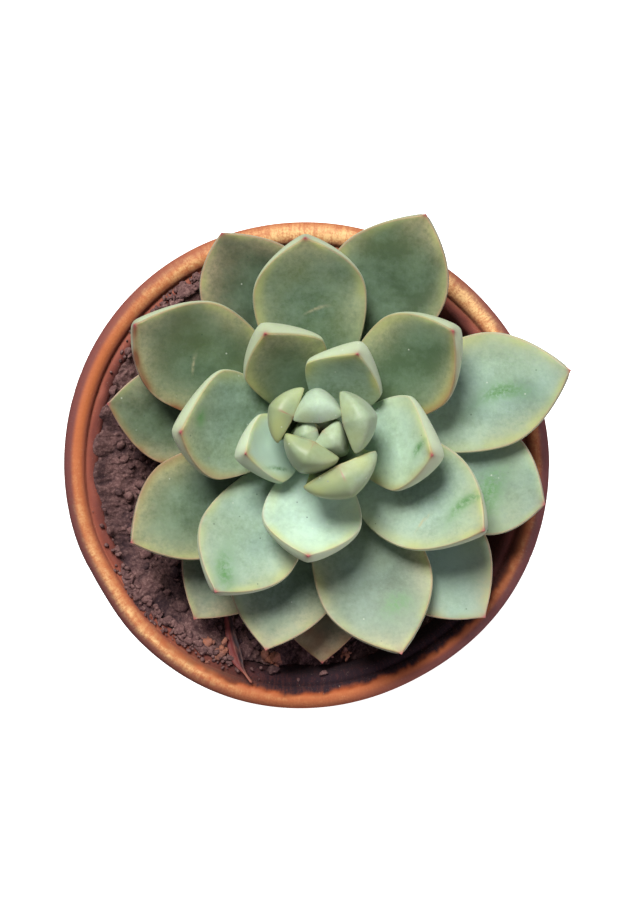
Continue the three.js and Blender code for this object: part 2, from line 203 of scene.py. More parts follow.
def makeMaterial(name, recipe):
    material = bpy.data.materials.new(name)
    material.use_nodes = True
    tree = material.node_tree
    tree.nodes.clear()
    place = addNode(tree, "TexCoord")["Object"]
    fields = {mask: addNode(tree, "Attribute", {"attribute_name": mask})["Fac"]
              for mask in recipe.get("masks", ())}

    def find(value):
        return toLinear(value) if str(value).startswith("#") else fields.get(value, value)

    for noise, (size, detail, roughness, *follows) in recipe.get("noises", {}).items():
        # a noise lies in the piece's own coordinates, or follows a mask and has its size in the mask's unit
        where, scale = place, 1 / (size * mm)
        if follows:
            where, scale = addNode(tree, "Attribute", {"attribute_name": follows[0]})["Vector"], 1 / size
        fields[noise] = addNode(tree, "TexNoise", inputs={
            "Vector": where, "Scale": scale, "Detail": detail, "Roughness": roughness})[0]
    if "speckSize" in recipe:
        # cells of this size in mm: how far a point is from its cell's middle, and two random numbers per cell
        cells = addNode(tree, "TexVoronoi", inputs={"Vector": place, "Scale": 1 / (recipe["speckSize"] * mm)})
        chances = addNode(tree, "SeparateColor", inputs={0: cells["Color"]})
        fields.update(speckAway=cells["Distance"], paleChance=chances[0], darkChance=chances[1])
    for result, action, *parts in recipe.get("steps", ()):
        if action == "cover":
            # a share and a colour, blended over the result so far
            action, parts = "blend", [parts[0], result, parts[1]]
        kind, settings, slots, output = actions[action]
        fields[result] = addNode(tree, kind, settings, dict(zip(slots, map(find, parts))))[output]
    normal = {}
    for field, strength, depth in recipe.get("bumps", ()):
        normal = {"Normal": addNode(tree, "Bump", inputs={
            "Height": fields[field], "Strength": strength, "Distance": depth * mm, **normal})[0]}
    values = {key: find(value) for key, value in recipe["shader"].items()}
    shader = addNode(tree, "BsdfPrincipled", inputs={**values, **normal})
    addNode(tree, "OutputMaterial", inputs={0: shader[0]})
    return material


# Echeveria leaf: waxy skin grown with a powdery bloom. To the eye it is matt mint where the powder lies
# thick, deeper green where it is thin or rubbed off, and lets light through at its thin edge.
leafFinish = {
    "masks": ("age", "under", "haze", "margin", "buff", "ochre", "mucro", "rubbed", "scar", "powderAndPaintedLight"),
    "noises": {"cloud": (9.0, 5.0, 0.62), "drift": (16.0, 3.0, 0.5), "grain": (1.1, 4.0, 0.7)},
    "speckSize": 1.7,
    "steps": (
        ("flesh", "blend", "age", "#3a4a38", "#597450"),
        ("warmth", "spread", "drift", 0.58, 0.36, 0.0, 0.5), ("warmth", "multiply", "warmth", "age"),
        ("flesh", "cover", "warmth", "#76844f"),
        ("paleness", "spread", "cloud", 0.42, 0.7, 0.0, 0.3), ("flesh", "cover", "paleness", "#86a184"),
        ("powder", "blend", "age", "#859f88", "#c4e3cc"),
        ("blueness", "spread", "drift", 0.42, 0.68, 0.0, 0.6), ("powder", "cover", "blueness", "#92afa8"),
        # how thick the powder lies: the piece's own share, which also carries painted light and shade set
        # leaf by leaf, clouded and finely broken up
        ("clouded", "spread", "cloud", 0.3, 0.7, -0.17, 0.17),
        ("grained", "spread", "grain", 0.3, 0.7, -0.12, 0.12),
        ("uneven", "add", "clouded", "grained"), ("gain", "spread", "powderAndPaintedLight", 0.0, 0.35, 0.25, 1.0),
        ("thick", "multiplyAdd", "uneven", "gain", "powderAndPaintedLight"),
        ("colour", "blend", "thick", "flesh", "powder"), ("colour", "cover", "under", "#b9c6a4"),
        # yellowed and reddened skin along the margin and at the tip
        ("cream", "blend", "age", "#a19678", "#b8c48e"),
        ("creamy", "spread", "grain", 0.3, 0.65, 0.45, 1.0), ("creamy", "multiply", "creamy", "haze"),
        ("colour", "cover", "creamy", "cream"),
        ("colour", "cover", "margin", "#b8bd70"), ("colour", "cover", "buff", "#b98f78"),
        ("colour", "cover", "ochre", "#80573b"), ("colour", "cover", "mucro", "#a04c52"),
        # rubbed patches and healed scratches
        ("broken", "spread", "grain", 0.38, 0.56, 0.25, 1.0),
        ("rubbed", "multiply", "rubbed", "broken"), ("colour", "cover", "rubbed", "#5f8c56"),
        ("scar", "multiply", "scar", "broken"), ("colour", "cover", "scar", "#a8a583"),
        # a few pale specks of dust and a few dark pits, each one cell of the same pattern
        ("near", "spread", "speckAway", 0.07, 0.15, 0.6, 0.0),
        ("dust", "exceed", "paleChance", 0.95), ("dust", "multiply", "dust", "near"),
        ("colour", "cover", "dust", "#cfd8c6"),
        ("pit", "exceed", "darkChance", 0.95), ("pit", "multiply", "pit", "near"),
        ("colour", "cover", "pit", "#3c5140"),
        ("rough", "spread", "thick", 0.0, 1.0, 0.39, 0.6),
    ),
    "bumps": (("cloud", 0.25, 0.6), ("grain", 0.18, 0.12)),
    "shader": {"Base Color": "colour", "Roughness": "rough", "IOR": 1.4, "Specular IOR Level": 0.4,
               "Subsurface Weight": 0.18, "Subsurface Radius": (0.9, 1.3, 0.5), "Subsurface Scale": 1.4 * mm,
               "Sheen Weight": 0.08, "Sheen Roughness": 0.5},
}

# Terracotta: red clay thrown on a wheel, its rim rubbed smooth. The eye sees warm orange on the crest, partly
# a painted sheen, golden painted highlights, purple-brown below darkened by painted shade, a near-black
# painted shadow on one side, and a satin shine.
terracottaFinish = {
    "masks": ("wornAndPaintedSheen", "paintedShade", "paintedGoldenHighlight", "glow", "lime", "paintedShadowAndSoil"),
    "noises": {"streak": (1.0, 4.0, 0.7, "streakPlace"), "blotch": (11.0, 6.0, 0.65),
               "grit": (0.5, 3.0, 0.6)},
    "steps": (
        ("burnt", "spread", "blotch", 0.42, 0.66, 0.0, 0.6),
        ("colour", "blend", "burnt", "#9c4f38", "#7d403d"),
        # each stain, painted highlight and painted shade lies in its own place, broken up by the fine streaks
        # across the rim and by the grit
        ("ragged", "multiplyAdd", "grit", 0.8, "streak"),
        *(step for layer, least, most, tint in (
            ("wornAndPaintedSheen", 0.85, 1.0, "#bc693a"), ("paintedShade", 0.9, 1.0, "#6f403f"), ("paintedGoldenHighlight", 0.35, 1.3, "#ebc083"),
            ("glow", 0.6, 1.0, "#a34517"), ("lime", 0.7, 1.0, "#cfae98"), ("paintedShadowAndSoil", 0.9, 1.1, "#2a1b22"))
          for step in (("broken", "spread", "ragged", 0.76, 1.04, least, most),
                       ("share", "multiply", "broken", layer), ("colour", "cover", "share", tint))),
        ("speck", "spread", "grit", 0.64, 0.78, 0.0, 0.3),
        ("colour", "cover", "speck", "#cfae98"),
        ("rough", "spread", "blotch", 0.35, 0.65, 0.6, 0.78),
        ("rough", "addWithin1", "rough", "paintedShadowAndSoil"),
    ),
    "bumps": (("streak", 0.06, 0.25), ("grit", 0.45, 0.2), ("blotch", 0.25, 0.8)),
    "shader": {"Base Color": "colour", "Roughness": "rough", "IOR": 1.5, "Specular IOR Level": 0.35},
}

# Potting soil: crumbled loam and fine grit, watered and dried. Hollows near-black as painted shade, dusty
# pinkish tops on the crumbs, paler as painted light where the lamp reaches, the placed clods warm
# orange-brown as painted light, no shine at all.
soilFinish = {
    "masks": ("raised", "paintedClodLight"),
    "noises": {"patch": (5.0, 6.0, 0.7), "grain": (0.75, 4.0, 0.75)},
    "steps": (
        # painted light and shade with dryness: raised tops and lit places pale, hollows near black
        ("dryAndPaintedLight", "add", "raised", "patch"), ("dryAndPaintedLight", "spread", "dryAndPaintedLight", 0.45, 1.25, 0.0, 1.0),
        ("colour", "blend", "dryAndPaintedLight", "#2b2026", "#674b49"),
        ("dusty", "spread", "grain", 0.46, 0.7, 0.0, 0.8), ("dusty", "multiply", "dusty", "dryAndPaintedLight"),
        ("colour", "cover", "dusty", "#9e7d76"),
        # painted light: the placed clods warm orange-brown, as if lit
        ("clodLight", "spread", "patch", 0.38, 0.6, 0.25, 0.85), ("clodLight", "multiply", "clodLight", "paintedClodLight"),
        ("colour", "cover", "clodLight", "#bd7a5c"),
        ("fleck", "spread", "grain", 0.66, 0.73, 0.0, 0.7), ("colour", "cover", "fleck", "#cfae9a"),
    ),
    "bumps": (("grain", 0.8, 0.35),),
    "shader": {"Base Color": "colour", "Roughness": 0.95, "IOR": 1.45, "Specular IOR Level": 0.2},
}

# Young echeveria stem: green flesh turning to thin brown bark in patches, dull and finely cracked.
barkFinish = {
    "noises": {"patch": (2.5, 5.0, 0.65)},
    "steps": (("barked", "spread", "patch", 0.35, 0.65, 0.0, 1.0),
              ("colour", "blend", "barked", "#8c9164", "#6f5a3f")),
    "bumps": (("patch", 0.5, 0.3),),
    "shader": {"Base Color": "colour", "Roughness": 0.8, "IOR": 1.45},
}

# Withered leaf: shrivelled and dried in the sun. Dark red, darker in its folds, tan at the thin end,
# with fine fibres along it and a faint leathery shine.
witheredFinish = {
    "masks": ("fold", "thinEnd"),
    "noises": {"fibre": (0.5, 4.0, 0.6, "fibrePlace")},
    "steps": (("colour", "blend", "fold", "#7a2c2a", "#2a1a20"),
              ("tan", "spread", "fibre", 0.45, 0.7, 0.0, 0.35),
              ("tan", "add", "tan", "thinEnd"),
              ("colour", "cover", "tan", "#a8664e")),
    "bumps": (("fibre", 0.6, 0.2),),
    "shader": {"Base Color": "colour", "Roughness": 0.6, "IOR": 1.45},
}

leafSkin = makeMaterial("echeveriaLeafBloomed", leafFinish)
terracotta = makeMaterial("terracottaWornWithPaintedLight", terracottaFinish)
earth = makeMaterial("pottingSoilCrumbled", soilFinish)
bark = makeMaterial("succulentStemBark", barkFinish)
driedSkin = makeMaterial("witheredLeafDried", witheredFinish)
print("materials made")


pot = {
    "rimRadius": 60.0, "height": 90.0, "rollRadius": 3.0, "rollTurn": 142, "collarHeight": 15.0,
    "collarStep": 3.6, "footRadius": 40.0, "mouthRadius": 51.6, "ledgeRadius": 53.2, "ledgeDrop": 1.8,
    "floorThickness": 7.0, "innerFloorRadius": 36.0, "drainRadius": 5.0, "sides": 400, "longestStep": 1.2,
    "throwingLine": 2.3, "lineDepth": 0.12, "chipDepth": 0.25, "warp": 0.18,
    # Directions round the rim, each with its width in degrees and how much. The golden highlights, the lit
    # flank and the shaded crest listed here are painted light and shade.
    "swells": ((135, 26, 0.5), (250, 22, 0.6), (211, 9, -0.55), (300, 18, -0.5), (45, 25, -0.25)),  # mm
    "goldenHighlightPlaces": ((90, 28, 1.1), (229, 20, 0.7), (48, 20, 1.1), (130, 12, 0.2), (200, 16, 0.3),
                     (355, 28, 0.2), (266, 20, 0.1)),
    "litFlankPlaces": ((90, 45, 1.0), (268, 30, 1.0)), "crestShadowPlaces": ((335, 36, 0.12),),
    "sheenShadowPlaces": ((322, 36, 0.15),), "glowPlaces": ((265, 48, 0.85),), "shadowTurn": 290, "shadowSpread": 52,
    # Radii of the stains and of the painted highlights and shade, in mm.
    "flank": (57.0, 58.2), "groove": 54.7, "wornAndSheenRing": 56.3, "goldenHighlightRing": 56.7, "glowRing": 55.7,
    "inside": (55.4, 52.0), "shadowEdge": (56.7, 55.1),
    "streakWidth": 0.9, "streakLength": 4.0,  # mm
}


def wallRadius(height):
    # radius of the pot's inner wall at a height
    along = (height - pot["floorThickness"]) / (pot["height"] - pot["rollRadius"] - pot["floorThickness"])
    return mix(pot["innerFloorRadius"], pot["mouthRadius"], along)


def potProfile():
    # [radius, height] pairs from the drain hole under the foot, up the outside, over the rim and down inside
    rim, top, roll = pot["rimRadius"], pot["height"], pot["rollRadius"]
    foot, drain, floor, inner = (pot[name] for name in (
        "footRadius", "drainRadius", "floorThickness", "innerFloorRadius"))
    collar, collarFoot = rim - pot["collarStep"], top - pot["collarHeight"]
    edge, ledge = pot["ledgeRadius"], top - pot["ledgeDrop"]
    turn = np.radians(np.linspace(0, pot["rollTurn"], 26))
    profile = np.array([
        [drain, 0.6], [drain + 0.6, 0], [foot - 1.4, 0], [foot - 0.4, 0.4], [foot, 1.4],
        [collar - 1, collarFoot - 0.6], [collar - 0.2, collarFoot - 0.4],
        [rim - 1.7, collarFoot], [rim - 1.0, collarFoot + 0.4], [rim - 0.7, collarFoot + 1.2],
        *np.stack([rim - roll * (1 - np.cos(turn)), top - roll * (1 - np.sin(turn))], -1),
        [edge + 1.4, ledge - 0.4], [edge + 1.05, ledge - 0.36], [edge + 0.6, ledge - 0.12],
        [edge + 0.1, ledge - 0.1], [edge - 0.5, ledge - 0.25], [edge - 1.1, ledge - 0.65],
        [pot["mouthRadius"], ledge - 1.3], [inner + 1, floor + 1.5], [inner, floor],
        [drain + 0.6, floor], [drain, floor - 0.6], [drain, 0.6]])
    # points close enough together for the wall to carry its throwing lines
    steps = np.ceil(np.hypot(*np.diff(profile, axis=0).T) / pot["longestStep"]).astype(int)
    return np.vstack([np.linspace(profile[i], profile[i + 1], max(step, 1), endpoint=False)
                      for i, step in enumerate(steps)])


def potStainsAndPaintedLight(radius, height, degrees, outer):
    # what the clay shows, from 0 to 1, by radius, height and direction
    squares = degrees / 360 * latticeSize  # so that a whole number of them goes round the pot
    crest, collar = smoothStep(height, 84, 88), smoothStep(height, 70, 80)
    flank = smoothStep(radius, *pot["flank"]) * collar
    inside = smoothStep(-radius, *(-edge for edge in pot["inside"])) * collar
    # painted light: the outer flank paler on the two sides that catch the lamp
    litFlank = placesRound(degrees, pot["litFlankPlaces"])
    # painted shade: the outer flank darker except where the lamp lights it, the groove darker, the crest
    # darker where leaves shade it, and the inside of the rim darker too
    paintedShade = (0.95 * flank * (1 - 0.85 * litFlank) + 0.4 * hill(radius, pot["groove"], 0.7) * crest + 0.6 * inside
            + crest * placesRound(degrees, pot["crestShadowPlaces"]))
    # painted sheen with wear: the crest ring lighter where its satin highlight lies, dimmed where leaves
    # shade it, and lighter on the lit flank
    wornAndPaintedSheen = crest * hill(radius, pot["wornAndSheenRing"], 1.6) * (1 - placesRound(degrees, pot["sheenShadowPlaces"])) + 0.12
    wornAndPaintedSheen = np.clip(wornAndPaintedSheen + 0.7 * crest * flank * litFlank, 0, 1)
    # painted highlight: golden patches on the crest where the lamp is reflected, mottled
    scuffs = 0.95 + 0.7 * valueNoise(squares * 3, radius / 0.7, 7)
    paintedGoldenHighlight = np.clip(placesRound(degrees, pot["goldenHighlightPlaces"]) * scuffs, 0, 1)
    paintedGoldenHighlight = paintedGoldenHighlight * crest * hill(radius, pot["goldenHighlightRing"], 1.2 + 1.0 * litFlank)
    glow = crest * hill(radius, pot["glowRing"], 0.9) * placesRound(degrees, pot["glowPlaces"])
    # white salts that the water leaves as it dries through the wall, near the foot and under the collar
    salts = valueNoise(squares / 2, height / 9, 61) + 0.5 * valueNoise(squares, height / 4, 62)
    lime = outer * 0.5 * smoothStep(salts, -0.2, 1.0) * (hill(height, 8, 16) + 0.5 * hill(height, 66, 9))
    # a near-black painted shadow below the crest on the side away from the lamp, its edge frayed, and soil on
    # the ledge all round
    frayed = radius + 0.6 * valueNoise(squares * 2, 0 * radius, 8) + 0.5 * valueNoise(squares * 5, radius, 9)
    paintedShadowAndSoil = smoothStep(height, 78, 82) * smoothStep(-frayed, *(-edge for edge in pot["shadowEdge"]))
    paintedShadowAndSoil = paintedShadowAndSoil * np.exp(-(angleFrom(degrees, pot["shadowTurn"]) / pot["shadowSpread"]) ** 4)
    paintedShadowAndSoil = np.maximum(paintedShadowAndSoil, inside * (0.22 + 0.3 * valueNoise(squares * 2, radius / 1.3, 10)))
    return {"wornAndPaintedSheen": wornAndPaintedSheen, "paintedShade": np.clip(paintedShade, 0, 1), "paintedGoldenHighlight": paintedGoldenHighlight, "glow": glow, "lime": lime,
            "paintedShadowAndSoil": paintedShadowAndSoil}


def makePot():
    # a lathe: each profile point goes round the axis, its radius changed by swells and shallow throwing lines
    profile = potProfile()
    radius, height = profile[:, :1], profile[:, 1:]
    turn = np.linspace(0, 2 * pi, pot["sides"], endpoint=False)[None, :]
    degrees = np.degrees(turn)
    squares = degrees / 360 * latticeSize
    outer = np.arange(len(profile))[:, None] < len(profile) * 0.5
    high = smoothStep(height, pot["height"] - pot["collarHeight"] - 8, pot["height"] - 6)
    swell = placesRound(degrees, pot["swells"]) * high * np.where(radius > 54, 1, 0.55)
    lines = valueNoise(height / pot["throwingLine"] + 0.02 * degrees, 0 * height * degrees + 3, 4)
    lines = pot["lineDepth"] * lines * np.where(outer, 1, 0.5)
    chips = -pot["chipDepth"] * np.clip(valueNoise(squares * 2, height / 2.5 + radius, 5) - 0.62, 0, 1)
    away = np.where(radius <= pot["drainRadius"] + 0.7, radius, radius + swell + lines + chips)
    rise = pot["warp"] * valueNoise(squares / 4, 0 * degrees + 0.5, 6) * high
    rows = roundPoints(away, turn, np.where(height > 2, height + rise, height))
    # the streaks run across the rim: narrow along the way round it and long along the profile
    width, length = pot["streakWidth"], pot["streakLength"]
    around = pot["rimRadius"] * np.stack([np.cos(turn), np.sin(turn)]) / width
    streakPlace = np.stack([*(around + 0 * away), (radius + height + 0 * turn) / length], -1)
    rings = np.arange(rows[..., 0].size).reshape(rows.shape[:2])
    masks = {**potStainsAndPaintedLight(radius, height, degrees, outer), "streakPlace": streakPlace}
    makePiece("terracottaPot", rows.reshape(-1, 3), [bandFaces(rings, np.roll(rings, -1, 0))], terracotta,
              "pot", masks)


makePot()
print("pot made")


soil = {
    "middle": 79.8, "bank": 5.2, "bankTurn": 165, "lump": 0.45, "edgeDrop": 0.05,
    # direction and width in degrees, and how much: heaped up to the ledge (mm), spilt over it (a share), and
    # paler as painted light, where the lamp reaches it
    "heaps": ((224, 24, 4.2), (125, 22, 3.5)),
    "spilt": ((226, 19, 1.0), (124, 17, 1.0), (178, 26, 0.5)), "spiltShare": 0.062,
    "paintedSunlitPlaces": ((125, 25, 0.6),),
    "cells": 300, "clodWidth": 4.6, "clodHeight": 1.3, "crumbWidth": 0.8, "crumbHeight": 0.55,
    "hollowWidth": 6.5, "hollowDepth": 1.6, "grainWidth": 0.5, "grainHeight": 0.22,
    "skirtHeights": (79, 70, 50, 30, pot["floorThickness"] + 0.3), "skirtGap": 0.3,
}


def soilHeight(x, y):
    # the bank against one side of the pot, the heaps by the wall and broad lumps
    radius, degrees = np.hypot(x, y), np.degrees(np.arctan2(y, x)) % 360
    facing = 0.5 + 0.5 * np.cos(np.radians(degrees - soil["bankTurn"]))
    bank = soil["bank"] * smoothStep(radius, 30, 49) * facing ** 1.2
    lumps = np.sin(x * 0.61 + 1.3 * np.sin(y * 0.33)) + np.sin(y * 0.74 + 1.1 * np.sin(x * 0.41))
    heaps = placesRound(degrees, soil["heaps"]) * smoothStep(radius, 43, 49)
    return soil["middle"] + bank + soil["lump"] * 0.5 * lumps + heaps


def soilRelief(x, y):
    # clods, crumbs between them and fine grain, added to the height; and how raised a point is, 0 to 1
    bendX, bendY = (value + 1.1 * valueNoise(x, y, seed, 2.1) + 0.5 * valueNoise(x, y, seed + 6, 0.8)
                    for value, seed in ((x, 11), (y, 12)))
    clods = clodNoise(bendX, bendY, 13, soil["clodWidth"])
    crumbs = clodNoise(bendX, bendY, 14, soil["crumbWidth"])
    hollows = np.clip(valueNoise(x, y, 15, soil["hollowWidth"]), -1, 0)
    fine = soil["grainHeight"] * valueNoise(x, y, 16, soil["grainWidth"])
    relief = (soil["clodHeight"] * (clods - 0.45) + soil["crumbHeight"] * (crumbs - 0.4)
              + soil["hollowDepth"] * hollows + fine)
    return relief, np.clip(0.55 * clods + 0.3 * crumbs + 0.35 * hollows + 0.25, 0, 1)


def makeSoil():
    # a square grid bent to a disc for the top, then rows down the wall and across the floor
    side = np.linspace(-1, 1, soil["cells"] + 1)
    u, v = np.meshgrid(side, side, indexing="ij")
    edge = wallRadius(soil["middle"] + 2.5) - soil["edgeDrop"]
    x, y = u * np.sqrt(1 - v * v / 2) * edge, v * np.sqrt(1 - u * u / 2) * edge
    relief, raised = soilRelief(x, y)
    z = soilHeight(x, y) + relief
    radius, degrees = np.hypot(x, y), np.degrees(np.arctan2(y, x)) % 360
    # painted light: the soil paler on the side the lamp reaches
    raised = raised + placesRound(degrees, soil["paintedSunlitPlaces"])
    pull = wallRadius(z) - soil["edgeDrop"]  # the last millimetres follow the leaning wall
    share = 1 + (pull / edge - 1) * smoothStep(radius, edge - 4, edge)
    # where it is spilt it also covers the ledge, with a ragged edge
    spilt = placesRound(degrees, soil["spilt"]) * (0.8 + 0.4 * valueNoise(x, y, 19, 1.7))
    spilt = np.clip(spilt, 0, 1) * smoothStep(radius, edge - 2.6, edge)
    share = share + soil["spiltShare"] * spilt
    onLedge = pot["height"] - pot["ledgeDrop"] + 0.4 + 0.6 * relief
    z = mix(z, np.maximum(z, onLedge), np.clip(2.2 * spilt, 0, 1))
    top = np.stack([x * share, y * share, z], -1).reshape(-1, 3)
    index = np.arange(len(top)).reshape(u.shape)
    quads = np.stack([index[:-1, :-1], index[1:, :-1], index[1:, 1:], index[:-1, 1:]], -1).reshape(-1, 4)
    border = np.concatenate([index[:-1, 0], index[-1, :-1], index[:0:-1, -1], index[0, :0:-1]])
    turn = np.arctan2(top[border, 1], top[border, 0])
    heights = np.array(soil["skirtHeights"])[:, None]
    skirt = roundPoints(wallRadius(heights) - soil["skirtGap"], turn, heights).reshape(-1, 3)
    rings = np.vstack([border, len(top) + np.arange(len(skirt)).reshape(len(heights), -1)])
    points = np.vstack([top, skirt, [0, 0, soil["skirtHeights"][-1]]])
    faces = [quads, bandFaces(rings[1:], rings[:-1]), fanFaces(rings[-1], len(points) - 1)]
    raised = np.append(raised, np.full(len(skirt) + 1, 0.3))
    makePiece("pottingSoil", points, faces, earth, "soil", {"raised": raised})


makeSoil()

crumbs = {
    "count": 1100, "smallest": 0.35, "largest": 1.9, "reach": 47.6, "seed": 21,
    "rings": 5, "sides": 8, "waves": 1.6, "dent": 0.2, "stretch": (0.5, 1.2), "flatness": 0.8,
    # clods and stones that show by themselves: x, y, z, size in mm
    "placed": ((-21.3, -46.6, 87.2, 2.9), (-24.4, -44.0, 86.8, 1.8), (-8.2, -48.6, 84.0, 2.6),
               (4.8, -48.4, 83.0, 1.8), (10.0, -47.7, 82.8, 1.5), (-22.2, -37.6, 83.2, 1.0),
               (46.8, -16.8, 81.5, 1.6)),
    # crumbs spilt over the ledge: direction and spread in degrees, how many
    "spilt": ((124, 13, 240), (230, 13, 200)), "spiltFrom": 51.0, "spiltReach": 3.4,
    "cluster": 9,
}


def grainShells(spots, sizes, seed):
    # balls, each stretched and dented by its own random waves and turned at random
    rng = np.random.default_rng(seed)
    polar = np.linspace(0, pi, crumbs["rings"] + 2)[1:-1, None]
    turn = np.linspace(0, 2 * pi, crumbs["sides"], endpoint=False)[None, :]
    ball, faces = closedSkin(roundPoints(np.sin(polar), turn, np.cos(polar)), [0, 0, 1], [0, 0, -1])
    waves = rng.normal(size=(len(spots), 3, 3)) * crumbs["waves"]
    waves = np.sin(np.einsum("pk,nwk->nwp", ball, waves) + rng.uniform(0, 6, (len(spots), 3, 1)))
    dents = 1 + crumbs["dent"] * waves.sum(1)
    shape = ball[None] * dents[..., None] * rng.uniform(*crumbs["stretch"], (len(spots), 1, 3))
    spin = rng.uniform(0, 2 * pi, len(spots))
    c, s = np.cos(spin)[:, None], np.sin(spin)[:, None]
    shape = np.stack([shape[..., 0] * c - shape[..., 1] * s, shape[..., 0] * s + shape[..., 1] * c,
                      shape[..., 2] * crumbs["flatness"]], -1)
    points = spots[:, None] + shape * sizes[:, None, None]
    offset = (np.arange(len(spots)) * len(ball))[:, None, None]
    faces = [(part[None, :, ::-1] + offset).reshape(-1, part.shape[1]) for part in faces]
    return points.reshape(-1, 3), faces


def makeCrumbs():
    # grains strewn on the soil, grains spilt over the ledge and the placed clods, as one piece
    rng = np.random.default_rng(crumbs["seed"])
    count = crumbs["count"]
    turn = rng.uniform(0, 2 * pi, count)
    away = crumbs["reach"] * np.sqrt(rng.uniform(0.3, 1, count))
    sizes = mix(crumbs["smallest"], crumbs["largest"], rng.uniform(0, 1, count) ** 4)  # most are small
    x, y = away * np.cos(turn), away * np.sin(turn)
    spots = [np.stack([x, y, soilHeight(x, y) + soilRelief(x, y)[0] + 0.25 * sizes], -1)]
    raised = [np.clip(0.5 + 0.25 * rng.normal(size=count), 0.1, 1)]
    for middle, spread, count in crumbs["spilt"]:
        # thickest by the soil and thinning out towards the rolled edge, most of them half sunk in dust
        turn = np.radians(middle + spread * rng.normal(size=count))
        beyond = crumbs["spiltReach"] * rng.uniform(0, 1, count) ** 1.6
        away = crumbs["spiltFrom"] + beyond
        sizes = np.append(sizes, rng.uniform(0.3, 0.95, count) * (1.25 - 0.2 * beyond))
        z = pot["height"] - pot["ledgeDrop"] + rng.uniform(-0.1, 0.5, count)
        spots.append(roundPoints(away, turn, z))
        raised.append(rng.uniform(0.5, 1.1, count))
    # each placed clod is a cluster: one large crumb and eight about it
    clods = np.array(crumbs["placed"]).repeat(crumbs["cluster"], 0)
    small = np.arange(len(clods)) % crumbs["cluster"] > 0
    shifts = rng.normal(size=(len(clods), 3)) * [0.55, 0.55, 0.2] * small[:, None]
    spots = np.vstack([*spots, clods[:, :3] + shifts * clods[:, 3:]])
    sizes = np.append(sizes, clods[:, 3] * np.where(small, rng.uniform(0.25, 0.5, len(clods)), 0.75))
    # painted light: the placed clods, in the leaves' shadow here, are given a lit warm colour
    paintedClodLight = np.append(np.zeros(len(sizes) - len(clods)), rng.uniform(0.5, 1.0, len(clods)))
    raised = np.append(np.concatenate(raised), rng.uniform(0.5, 1.0, len(clods)))
    points, faces = grainShells(spots, sizes, crumbs["seed"] + 1)
    each = len(points) // len(sizes)
    makePiece("soilCrumbs", points, faces, earth,
              masks={"raised": raised.repeat(each), "paintedClodLight": paintedClodLight.repeat(each)})


makeCrumbs()
print("soil made")


plant = {
    "x": 3.4, "y": 8.0, "firstHeight": 86.5, "lastHeight": 108.5, "stemRadius": 5.2, "stemTopRadius": 2.1,
    "stemTop": 104.5, "stemFoot": 64.0,
}

